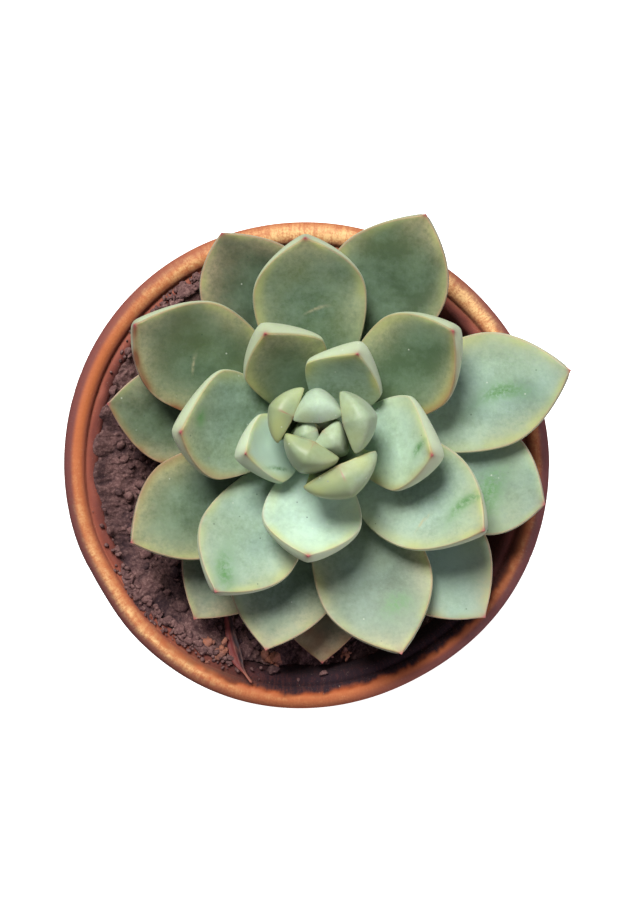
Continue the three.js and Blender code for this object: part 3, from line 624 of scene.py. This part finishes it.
# From the lowest and oldest leaf to the youngest: direction of the tip in degrees, how far the tip is from
# the stem's axis, height of the tip, width and thickness in mm at the broadest, slope at the stem and at the
# tip, how much powder it has, and what sets it apart. The powder is set leaf by leaf to how bright each leaf
# looks: lower on leaves turned from the lamp, partly painted shade, and high on the sixth, which lies in
# other leaves' shadow, partly painted light. roll: how far the left edge is raised. cup: how hollow the upper
# face is.
# skew: how much fuller the left half is. broad: where it is broadest. blunt: how square its shoulders are.
# lens: how sharp its margin is. mark: how far the red line on its back is from the tip. ageAndPaintedLight:
# the age that its colour shows, set low on leaves turned from the lamp and high on lit ones, partly painted
# shade
# and light. paintedSideLight: a painted highlight, the powder paler towards one side.
leafColumns = ("turn", "reach", "tip", "wide", "thick", "start", "end", "powderAndPaintedLight")
leafRows = (
    (270.5, 57, 88.5, 26, 4.2, -6, 8, 0.0, {"roll": 5, "ochreAll": 0.75}),
    (134, 34, 89, 20, 4.0, -6, 8, 0.4589, {}),
    (352, 40, 90, 22, 4.0, -6, 10, 0.4679, {}),
    (236, 55, 93, 26, 4.4, 0, 12, 0.2, {"roll": 4}),
    (82, 34, 93, 20, 4.2, 0, 12, 0.4857, {}),
    (311.5, 58.8, 103, 26.5, 4.6, 8, 20, 0.95, {"skew": 0.06, "blunt": 2.4, "ochreRight": 0.3}),
    (172.5, 51.5, 98.5, 25.5, 4.4, 4, 20, 0.05, {"ochreLeft": 0.9}),
    (29, 31.5, 97, 20, 4.2, 4, 18, 0.5125, {}),
    (256, 53.5, 102, 26.5, 4.8, 6, 22, 0.4, {}),
    (116.5, 52, 105, 26.5, 5.0, 6, 30, 0.0, {"skew": -0.12, "blunt": 2.5, "ageAndPaintedLight": 0.05}),
    (342, 55.5, 105, 26.5, 5.0, 6, 26, 0.6, {"skew": 0.14, "blunt": 3}),
    (210.5, 51.5, 106, 25.5, 5.0, 8, 28, 0.12, {"ochreRight": 0.7}),
    (64, 55.5, 111, 28.5, 5.4, 8, 34, 0.03, {"skew": 0.08, "ageAndPaintedLight": 0.32}),
    (290, 55, 110, 27.5, 5.4, 8, 30, 0.24, {}),
    (150.5, 49, 113, 27, 5.6, 10, 46, 0.0, {
        "roll": -10, "cup": 0.12, "skew": -0.1, "blunt": 2.2, "ochreLeft": 1.4, "ageAndPaintedLight": 0.4}),
    (13.5, 59, 113, 27.5, 5.4, 8, 32, 0.68, {}),
    (237, 44, 114.5, 24.5, 5.4, 14, 40, 0.58, {}),
    (94.5, 43.5, 117.5, 26.5, 5.6, 14, 48, 0.12, {"blunt": 2.3}),
    (328.5, 43.5, 117.5, 26, 5.6, 16, 42, 0.6, {"cup": 0.14, "skew": -0.06, "broad": 0.54, "blunt": 2.4}),
    (181, 31.5, 118, 25.5, 6.0, 22, 60, 0.34, {
        "roll": -8, "cup": 0.12, "skew": -0.16, "blunt": 1.8, "ochreLeft": 0.6}),
    (36.5, 37, 120.5, 24.5, 6.0, 20, 56, 0.02, {
        "roll": -6, "cup": 0.12, "blunt": 1.9, "ochreRight": 0.6, "ageAndPaintedLight": 0.5}),
    (264.5, 28.5, 119.5, 23, 5.2, 26, 52, 0.9, {"cup": 0.12, "blunt": 2.1, "ageAndPaintedLight": 0.95}),
    (120, 24.5, 122.5, 20, 6.0, 34, 64, 0.03, {
        "roll": -6, "cup": 0.1, "skew": -0.1, "blunt": 1.45, "ageAndPaintedLight": 0.5}),
    (347, 25.5, 122.5, 22, 6.2, 32, 62, 0.68, {
        "roll": 6, "cup": 0.1, "skew": 0.12, "blunt": 1.5, "ochreRight": 0.4}),
    (198, 17.5, 121.5, 16.5, 5.2, 42, 66, 1.15, {
        "cup": 0.08, "skew": 0.06, "broad": 0.56, "blunt": 1.45, "ageAndPaintedLight": 1.0}),
    (63.5, 18.5, 124.5, 18.5, 5.6, 42, 68, 0.4, {
        "roll": 6, "cup": 0.06, "skew": 0.04, "broad": 0.57, "blunt": 1.3}),
    (296, 8.8, 125, 18, 5.8, 50, 126, 0.0, {
        "cup": 0.03, "crest": 2, "broad": 0.86, "blunt": 2.6, "taper": 3.6, "lens": 0.5, "mark": 2.6,
        "paintedSideLight": 0.35}),
    (155, 6.4, 125.5, 13.5, 4.4, 60, 116, 0.0, {
        "cup": 0.03, "crest": 2, "broad": 0.86, "blunt": 2.4, "taper": 3.2, "lens": 0.5, "mark": 2.2,
        "paintedSideLight": -0.3}),
)
leafUsual = {"roll": 0, "cup": 0.09, "skew": 0, "broad": 0.64, "blunt": 2.1, "neck": 1.5, "lens": 0,
             "ochreLeft": 0, "ochreRight": 0, "ochreAll": 0, "mark": 0, "paintedSideLight": 0}

# The youngest leaves, still folded over the growing tip.
budRows = (
    (13.5, 5.0, 126.5, 14, 4.8, 52, 142, 0.2, {}),
    (245, 3.0, 127, 13, 4.2, 60, 138, 0.05, {"mark": 0.6}),
    (96, 1.3, 126.5, 11, 4.3, 52, 140, 0.6, {"skew": 0.1}),
    (318, 0.6, 125.5, 8.5, 3.6, 45, 132, 0.3, {}),
    (198, 0.6, 124.8, 7.5, 3.2, 50, 128, 0.3, {}),
    (60, 0.4, 123.6, 6, 2.8, 55, 125, 0.3, {}),
)
budUsual = {**leafUsual, "cup": 0.02, "crest": 1, "keel": 0.15, "taper": 2.4, "broad": 0.9, "blunt": 2.4,
            "lens": 0.6}

leaves, budLeaves = ([{**usual, **dict(zip(leafColumns, row)), **extras} for *row, extras in rows]
                     for rows, usual in ((leafRows, leafUsual), (budRows, budUsual)))

blade = {
    "stations": 120, "upperSteps": 40, "lowerSteps": 52,
    "pull": 0.38,  # how far each end's slope reaches along the midrib, as a share of its span
    "baseWidth": 0.34, "baseThickness": 0.62, "skin": 0.15, "point": 0.4, "wave": 0.2,
    # what changes evenly from the oldest leaf to the youngest, where a row says nothing else: mm of rounding
    # at the tip, degrees from the margin up to the widest line, height of the keel and shares of the colours
    "taper": (18, 5.5), "crest": (8, 12), "keel": (0.03, 0.14),
    "margin": (0.3, 0.95), "buff": (0.75, 0.15), "tipHaze": (0.7, 0.2),
}

# Marks on the skin: rank of the leaf, x, y, length, breadth in mm, direction in degrees.
leafMarks = {
    # where the powder is rubbed off
    "rubbed": (
        (18, 36.3, -8.5, 5.5, 1.2, 37), (16, -18.7, -24.0, 4.5, 2.0, 100), (13, 21.2, -32.4, 3.6, 2.4, 30),
        (23, 25.4, 3.9, 2.2, 0.7, 60), (23, 29.0, 9.0, 3.0, 0.8, -60), (19, -23.9, 11.0, 2.2, 1.0, 80),
        (24, -6.0, -0.7, 2.2, 0.4, -10), (10, 43.5, -6.0, 6.0, 3.0, 75), (15, 46.0, 17.5, 6.0, 2.0, 10)),
    # thin healed scratches
    "scar": (
        (14, -26.5, 24.0, 2.0, 0.25, 80), (17, 2.5, 36.5, 2.4, 0.25, 20), (18, 27.0, -13.0, 2.5, 0.25, 50)),
}


def midribOf(leaf, rank, along):
    # a cubic curve in the upright plane through the stem, from the stem's skin to the tip with the two end
    # slopes: its points and directions at even lengths along it, and its length
    share = rank / (len(leaves) + 1)
    height = mix(plant["firstHeight"], plant["lastHeight"], share)
    radius = mix(plant["stemRadius"], plant["stemTopRadius"], share)
    start, end = np.array([radius, height]), np.array([leaf["reach"], leaf["tip"]], float)
    pull = blade["pull"] * np.hypot(*(end - start))
    rise, finish = np.radians(leaf["start"]), np.radians(leaf["end"])
    leaving = start + pull * np.array([np.cos(rise), np.sin(rise)])
    arriving = end - pull * np.array([np.cos(finish), np.sin(finish)])

    def curve(t):
        handles = 3 * (1 - t) ** 2 * t * leaving + 3 * (1 - t) * t * t * arriving
        return (1 - t) ** 3 * start + handles + t ** 3 * end

    t = np.linspace(0, 1, 401)[:, None]
    lengths = walkedAlong(curve(t))
    t = np.interp(along * lengths[-1], lengths, t[:, 0])[:, None]
    slopes = 3 * ((1 - t) ** 2 * (leaving - start) + 2 * (1 - t) * t * (arriving - leaving)
                  + t * t * (end - arriving))
    slopes /= np.hypot(*slopes.T)[:, None]
    return curve(t), slopes, lengths[-1]


def outlineAt(along, broad, blunt, neck):
    # half the width as a share: an S from the narrow base, a rounded shoulder, then a drawn-out tip
    base = mix(blade["baseWidth"], 1, np.sin(np.clip(along / broad, 0, 1) * pi / 2) ** neck)
    shoulder = (1 - np.clip((along - broad) / (1 - broad), 0, 1) ** blunt) ** 1.08
    return np.where(along < broad, base, shoulder)


def bodyAt(along, taper):
    # thickness as a share: swelling from the base, then rounded off to the tip over the taper's share
    swelling = mix(blade["baseThickness"], 1, np.sin(np.minimum(along / 0.5, 1) * pi / 2))
    return swelling * (1 - np.clip((along - 1 + taper) / taper, 0, 1) ** 2.2) ** 0.5


def leafSection(crest, lens):
    # one turn round a leaf's section: an ellipse cut flat above its middle, so that the margin, where the cut
    # meets it, lies inside the widest line. lens: how far the ellipse becomes a parabola with a sharp margin.
    # across: share of the half width. level: 0 at the margin, -1 at the lowest point. face: 1 above, -1
    # below. bulge: 1 in the middle of the upper face and 0 at the margin.
    turn = np.linspace(0, pi, blade["upperSteps"] + 1)[:-1]
    # from the left margin under the leaf to the right one
    lower = -pi - np.linspace(crest, -pi - crest, blade["lowerSteps"] + 1)[:-1]
    sink = np.sin(crest) / (1 + np.sin(crest))
    across = np.concatenate([np.cos(turn) * np.cos(crest), np.cos(lower)])
    depth = mix(np.sin(lower), np.sin(lower) * np.abs(np.sin(lower)), lens)
    level = np.concatenate([0 * turn, -sink + (1 - sink) * depth])
    face = np.repeat([1.0, -1.0], [len(turn), len(lower)])
    bulge = np.concatenate([(1 - np.abs(np.cos(turn)) ** 5) ** 0.8, 0 * lower])
    return across[None], level[None], face[None], bulge[None]


def leafSurface(leaf, rank):
    # cross sections along the midrib: hollow above, rounded below, closed to a point at both ends
    age = min(rank / len(leaves), 1.0)
    even = np.arange(blade["stations"]) / blade["stations"]
    along = mix(even, (1 - np.cos(even * pi)) / 2, 0.5)
    spots, slopes, length = midribOf(leaf, rank, np.append(along, 1.0))
    turn = np.radians(leaf["turn"])
    outward = np.array([np.cos(turn), np.sin(turn), 0])
    left = np.array([-np.sin(turn), np.cos(turn), 0])
    middle = [plant["x"], plant["y"], 0] + spots[:, :1] * outward + spots[:, 1:] * [0, 0, 1]
    up = -slopes[:, 1:] * outward + slopes[:, :1] * [0, 0, 1]
    tilt = np.radians(leaf["roll"]) * (0.3 + 0.7 * np.append(along, 1.0))[:, None]
    across = left * np.cos(tilt) + up * np.sin(tilt)
    up = up * np.cos(tilt) - left * np.sin(tilt)
    half = leaf["wide"] / 2 * outlineAt(along, leaf["broad"], leaf["blunt"], leaf["neck"])
    spine = blade["point"] * np.clip((1 - along) * length / 1.5, 0, 1) ** 0.7  # the hard point at the tip
    half = np.maximum(half * (1 - 0.25 * hill(along, 1, 0.03)), spine)[:, None]
    taper, crest, keel = (leaf.get(name, mix(*blade[name], age)) for name in ("taper", "crest", "keel"))
    body = bodyAt(along, min(taper / length, 0.7))[:, None]
    c, level, face, bulge = leafSection(np.radians(crest), leaf["lens"])
    under = np.minimum(leaf["thick"] * body + blade["skin"], half * 1.6)
    over = np.minimum(0.06 * leaf["thick"] * body + 0.05, half * 0.2)
    hollow = leaf["cup"] * half * (np.sin(along * pi * 0.9) ** 0.8)[:, None]
    shift = (leaf["skew"] * np.sin(along * pi))[:, None]
    ridge = np.exp(-np.sqrt(c * c + 0.002) / 0.3) * (face < 0) * smoothStep(along, 0.5, 0.8)[:, None]
    unit = half / (leaf["wide"] / 2)
    waves = blade["wave"] * valueNoise(c * half / 7 + 5 * rank, along[:, None] * length / 8 + 0 * c, 31)
    height = (under * level + over * bulge + hollow * c * c
              + (waves - keel * leaf["thick"] * ridge) * unit)
    rows = (middle[:-1, None] + across[:-1, None] * (half * (c + shift * c * c))[..., None]
            + up[:-1, None] * height[..., None])
    points, faces = closedSkin(rows, middle[0], middle[-1])
    # mm along the skin from the margin, on either face
    steps = np.linalg.norm(np.roll(rows, -1, 1) - rows, axis=2)
    fromEdge = []
    for part in (steps[:, :blade["upperSteps"]], steps[:, blade["upperSteps"]:]):
        walked = np.cumsum(part, 1)
        fromEdge.append(np.minimum(walked - part, walked[:, -1:] - (walked - part)))
    fromTip = np.linalg.norm(rows - middle[-1], axis=2)
    return points, faces, leafMasks(leaf, rank, age, along, rows, np.hstack(fromEdge), fromTip, c, face)


def marksAt(marks, rank, rows):
    # soft spots on one leaf seen from above, each a bell curve along and across its direction
    shade = np.zeros(rows.shape[:2])
    for leafRank, x, y, length, breadth, direction in marks:
        if leafRank == rank:
            turn = np.radians(direction)
            dx, dy = rows[..., 0] - x, rows[..., 1] - y
            lengthwise = dx * np.cos(turn) + dy * np.sin(turn)
            crosswise = dy * np.cos(turn) - dx * np.sin(turn) + 0.04 * lengthwise ** 2
            shade = np.maximum(shade, hill(lengthwise, 0, length) * hill(crosswise, 0, breadth))
    return shade


def leafMasks(leaf, rank, age, along, rows, fromEdge, fromTip, c, face):
    # what the skin shows, from 0 to 1 at each point of the leaf
    x, y = rows[..., 0], rows[..., 1]
    top = face > 0
    size = min(leaf["wide"] / 20, 1.0)  # small leaves have narrow margins
    folded = rank >= len(leaves) - 2  # of these only the back is seen, and it is coloured like an upper face
    outer = smoothStep(along, 0.25, 0.6)[:, None]
    patchy = 0.55 + 0.5 * valueNoise(x / 3.1 + 5 * rank, y / 3.1, 32)
    # painted highlight: the powder made paler towards one side of a folded leaf
    powderAndPaintedLight = leaf["powderAndPaintedLight"] + leaf["paintedSideLight"] * c + 0 * fromEdge
    # the margin's yellow edge, which spreads over the back of the folded leaves, and its thin dry rim
    yellowing = 0.3 if rank < len(leaves) else 0.08
    outside = yellowing + 0.33 * hill(fromEdge, 0.8, 3.4) if folded else hill(fromEdge, 0, 0.4 * size)
    margin = np.where(top, 0.85 * hill(fromEdge, 0.5 * size, 1.6 * size), outside) * outer
    buff = hill(fromEdge, 0, 0.35 * size) * outer * mix(*blade["buff"], age)
    # cream inside the margin and towards the tip, less of it under thick powder
    drift = 0.55 + 0.6 * valueNoise(x / 9 + 3 * rank, y / 9, 33)
    haze = 0.85 * hill(fromEdge, 0, 5.0 * size) + mix(*blade["tipHaze"], age) * hill(fromTip, 0, 9 * size)
    haze = top * outer * np.clip(drift * haze, 0, 0.85) * (1.15 - 0.75 * powderAndPaintedLight * age)
    # ochre where an edge dries, and at the tip; the red point and the red line on a young leaf's back
    stained = np.where(c > 0, leaf["ochreLeft"], leaf["ochreRight"]) * hill(fromEdge, 0.2, 1.5) * outer
    ochre = np.maximum(np.maximum(stained, hill(fromTip, 0, 2.4 * size) * 0.45), leaf["ochreAll"]) * patchy
    streak = hill(c, 0, 0.1) * hill(fromTip, leaf["mark"], 1.2) * (face < 0) * 0.6
    point = hill(fromTip, 0, 0.8 * size) * (0.25 if folded else 1)
    mucro = np.maximum(point, streak * smoothStep(age, 0.7, 0.9))
    under = np.where(top, 0, smoothStep(fromEdge, 0.0, 0.5)) * (0.3 if folded else 0.8)
    # the age that colours a leaf is set low on leaves turned from the lamp and high on lit ones: partly
    # painted shade and light
    masks = {"age": leaf.get("ageAndPaintedLight", age) + 0 * margin, "under": under, "haze": haze, "buff": buff,
             "margin": margin * patchy * mix(*blade["margin"], age), "ochre": ochre, "mucro": mucro,
             "powderAndPaintedLight": powderAndPaintedLight, **{name: marksAt(marks, rank, rows) * top for name, marks in leafMarks.items()}}
    return {name: np.append(values.ravel(), [values[0].mean(), values[-1].mean()])
            for name, values in masks.items()}


def makeLeaves():
    for rank, leaf in enumerate(leaves):
        points, faces, masks = leafSurface(leaf, rank)
        makePiece(f"leafBlade{rank + 1:02d}", points, faces, leafSkin, f"leaf_{rank + 1:02d}", masks)


def makeBud():
    # several closed leaves as one piece
    shells = [leafSurface(leaf, len(leaves) + index) for index, leaf in enumerate(budLeaves)]
    points = np.vstack([shell[0] for shell in shells])
    faces = [part + len(shell[0]) * index for index, shell in enumerate(shells) for part in shell[1]]
    masks = {name: np.concatenate([shell[2][name] for shell in shells]) for name in shells[0][2]}
    makePiece("budLeaves", points, faces, leafSkin, "bud", masks)


def makeStem():
    # a tapered round stem, ringed with the raised scars of shed leaves
    height = np.linspace(plant["stemFoot"], plant["stemTop"], 90)[:, None]
    turn = np.linspace(0, 2 * pi, 48, endpoint=False)[None, :]
    share = (height - plant["firstHeight"]) / (plant["lastHeight"] - plant["firstHeight"])
    radius = mix(plant["stemRadius"], plant["stemTopRadius"], np.clip(share, 0, 1))
    scars = 0.25 * hill((height * 0.55 + turn / (2 * pi)) % 1, 0.5, 0.16)
    away = radius - 0.15 + scars + 0.12 * valueNoise(height / 1.5, turn / (2 * pi) * latticeSize / 2, 41)
    points, faces = closedSkin(roundPoints(away, turn, height), [0, 0, plant["stemFoot"]],
                               [0, 0, plant["stemTop"] + 0.2])
    makePiece("stemBark", points + [plant["x"], plant["y"], 0], faces, bark, "stem")


makeLeaves()
makeBud()
makeStem()
print("plant made")


dryLeaf = {
    "path": ((-20.5, -33.0, 82.6), (-19.6, -38.5, 83.6), (-18.5, -43.6, 85.6), (-16.6, -48.6, 88.8),
             (-14.8, -51.4, 90.2), (-13.3, -53.3, 90.9)),
    "width": 3.3, "thickness": 0.9, "stations": 90, "sides": 28, "wrinkle": 0.1, "crease": 0.35, "curl": 0.35,
}


def makeDryLeaf():
    # a folded ribbon along the path, shrinking to a needle, with wrinkles across and one deep crease
    along = np.arange(dryLeaf["stations"]) / dryLeaf["stations"]
    spots = alongPath(dryLeaf["path"], 400)
    lengths = walkedAlong(spots)
    middle = np.stack([np.interp(along * lengths[-1], lengths, spots[:, k]) for k in range(3)], -1)
    tangent = np.gradient(middle, axis=0)
    tangent /= np.linalg.norm(tangent, axis=1)[:, None]
    across = np.stack([-tangent[:, 1], tangent[:, 0], 0 * along], -1)
    across /= np.linalg.norm(across, axis=1)[:, None]
    up = np.cross(tangent, across)
    broadening = mix(0.5, 1, smoothStep(along, 0.1, 0.66)) * (1 - 0.8 * smoothStep(along, 0.66, 0.9))
    half = (dryLeaf["width"] / 2 * broadening)[:, None]
    angle = np.linspace(0, 2 * pi, dryLeaf["sides"], endpoint=False)[None, :]
    c, s = np.cos(angle), np.sin(angle)
    wrinkle = 1 + dryLeaf["wrinkle"] * valueNoise(along[:, None] * 26, c * 1.5, 51)
    bend = dryLeaf["curl"] * c * c - dryLeaf["crease"] * hill(c, 0.1, 0.25) * (s > 0)
    rows = (middle[:, None] + across[:, None] * (half * c * wrinkle)[..., None]
            + up[:, None] * (dryLeaf["thickness"] / 2 * s * 1.1 + bend * half / 1.4)[..., None])
    points, faces = closedSkin(rows, middle[0], spots[-1])
    fold = 1 - 0.8 * smoothStep(-c, -0.35, 0.1) + 0 * half
    thinEnd = smoothStep(along, 0.78, 0.9)[:, None] * 0.5 + 0 * c
    fibre = np.stack([half * c, along[:, None] * lengths[-1] / 6 + 0 * c, 0 * half + s], -1).reshape(-1, 3)
    masks = {"fold": np.append(fold, [0.5, 0.5]), "thinEnd": np.append(thinEnd, [0, 0.75]),
             "fibrePlace": np.vstack([fibre, fibre[:1], fibre[-1:]])}
    makePiece("witheredLeaf", points, faces, driedSkin, "dry_leaf", masks)


makeDryLeaf()
print("withered leaf made")


studio = {
    "floorSize": 4.0,  # metres
    "sky": "#efe4f6", "skyStrength": 0.17,
    # round soft lamps that face the plant: turn and rise in degrees, away and size in metres, power in watts
    "windowKey": {"turn": 110, "rise": 52, "away": 0.9, "size": 0.42, "power": 12.0, "colour": "#fffdfb"},
    "sideFill": {"turn": 350, "rise": 30, "away": 0.9, "size": 0.6, "power": 2.4, "colour": "#efe6fa"},
    # reaches the pot's wall without touching the soil
    "lowFill": {"turn": 305, "rise": 3, "away": 0.9, "size": 0.5, "power": 2.6, "colour": "#fff4ec"},
    "camera": (3.34, 1.11, 427.0), "lens": 53.71,  # mm; straight above, looking down
}

# Matt paper, lit from behind.
paperFinish = {"shader": {"Base Color": "#f4f3f0", "Roughness": 0.9, "Emission Color": "#f4f3f0",
                          "Emission Strength": 1.0}}


def makeFloor():
    half = studio["floorSize"] / 2
    corners = [(-half, -half, 0), (half, -half, 0), (half, half, 0), (-half, half, 0)]
    mesh = bpy.data.meshes.new("studioFloor")
    mesh.from_pydata(corners, [], [(0, 1, 2, 3)])
    mesh.materials.append(makeMaterial("studioFloorPaper", paperFinish))
    floor = bpy.data.objects.new("studioFloor", mesh)
    bpy.context.scene.collection.objects.link(floor)
    floor.visible_diffuse = False  # the glowing paper doesn't light the pot from below
    floor.visible_glossy = False


def makeLamp(name):
    light = studio[name]
    turn, rise = np.radians(light["turn"]), np.radians(light["rise"])
    direction = np.array([np.cos(turn) * np.cos(rise), np.sin(turn) * np.cos(rise), np.sin(rise)])
    lamp = bpy.data.lights.new(name, "AREA")
    lamp.shape = "DISK"
    lamp.size = light["size"]
    lamp.energy = light["power"]
    lamp.color = toLinear(light["colour"])[:3]
    holder = bpy.data.objects.new(name, lamp)
    holder.location = direction * light["away"] + np.array([0, 0, 0.1])
    holder.rotation_euler = (pi / 2 - rise, 0, turn + pi / 2)
    bpy.context.scene.collection.objects.link(holder)


def makeSky():
    world = bpy.data.worlds.new("softFill")
    world.use_nodes = True
    sky = world.node_tree.nodes["Background"]
    sky.inputs["Color"].default_value = toLinear(studio["sky"])
    sky.inputs["Strength"].default_value = studio["skyStrength"]
    bpy.context.scene.world = world


def makeCamera():
    lens = bpy.data.cameras.new("overhead")
    lens.lens = studio["lens"]
    lens.clip_start = 0.01
    view = bpy.data.objects.new("overhead", lens)
    view.location = [value * mm for value in studio["camera"]]
    bpy.context.scene.collection.objects.link(view)
    bpy.context.scene.camera = view


makeFloor()
for name in ("windowKey", "sideFill", "lowFill"):
    makeLamp(name)
makeSky()
makeCamera()
bpy.context.scene.view_settings.view_transform = "Standard"
print("stage made")
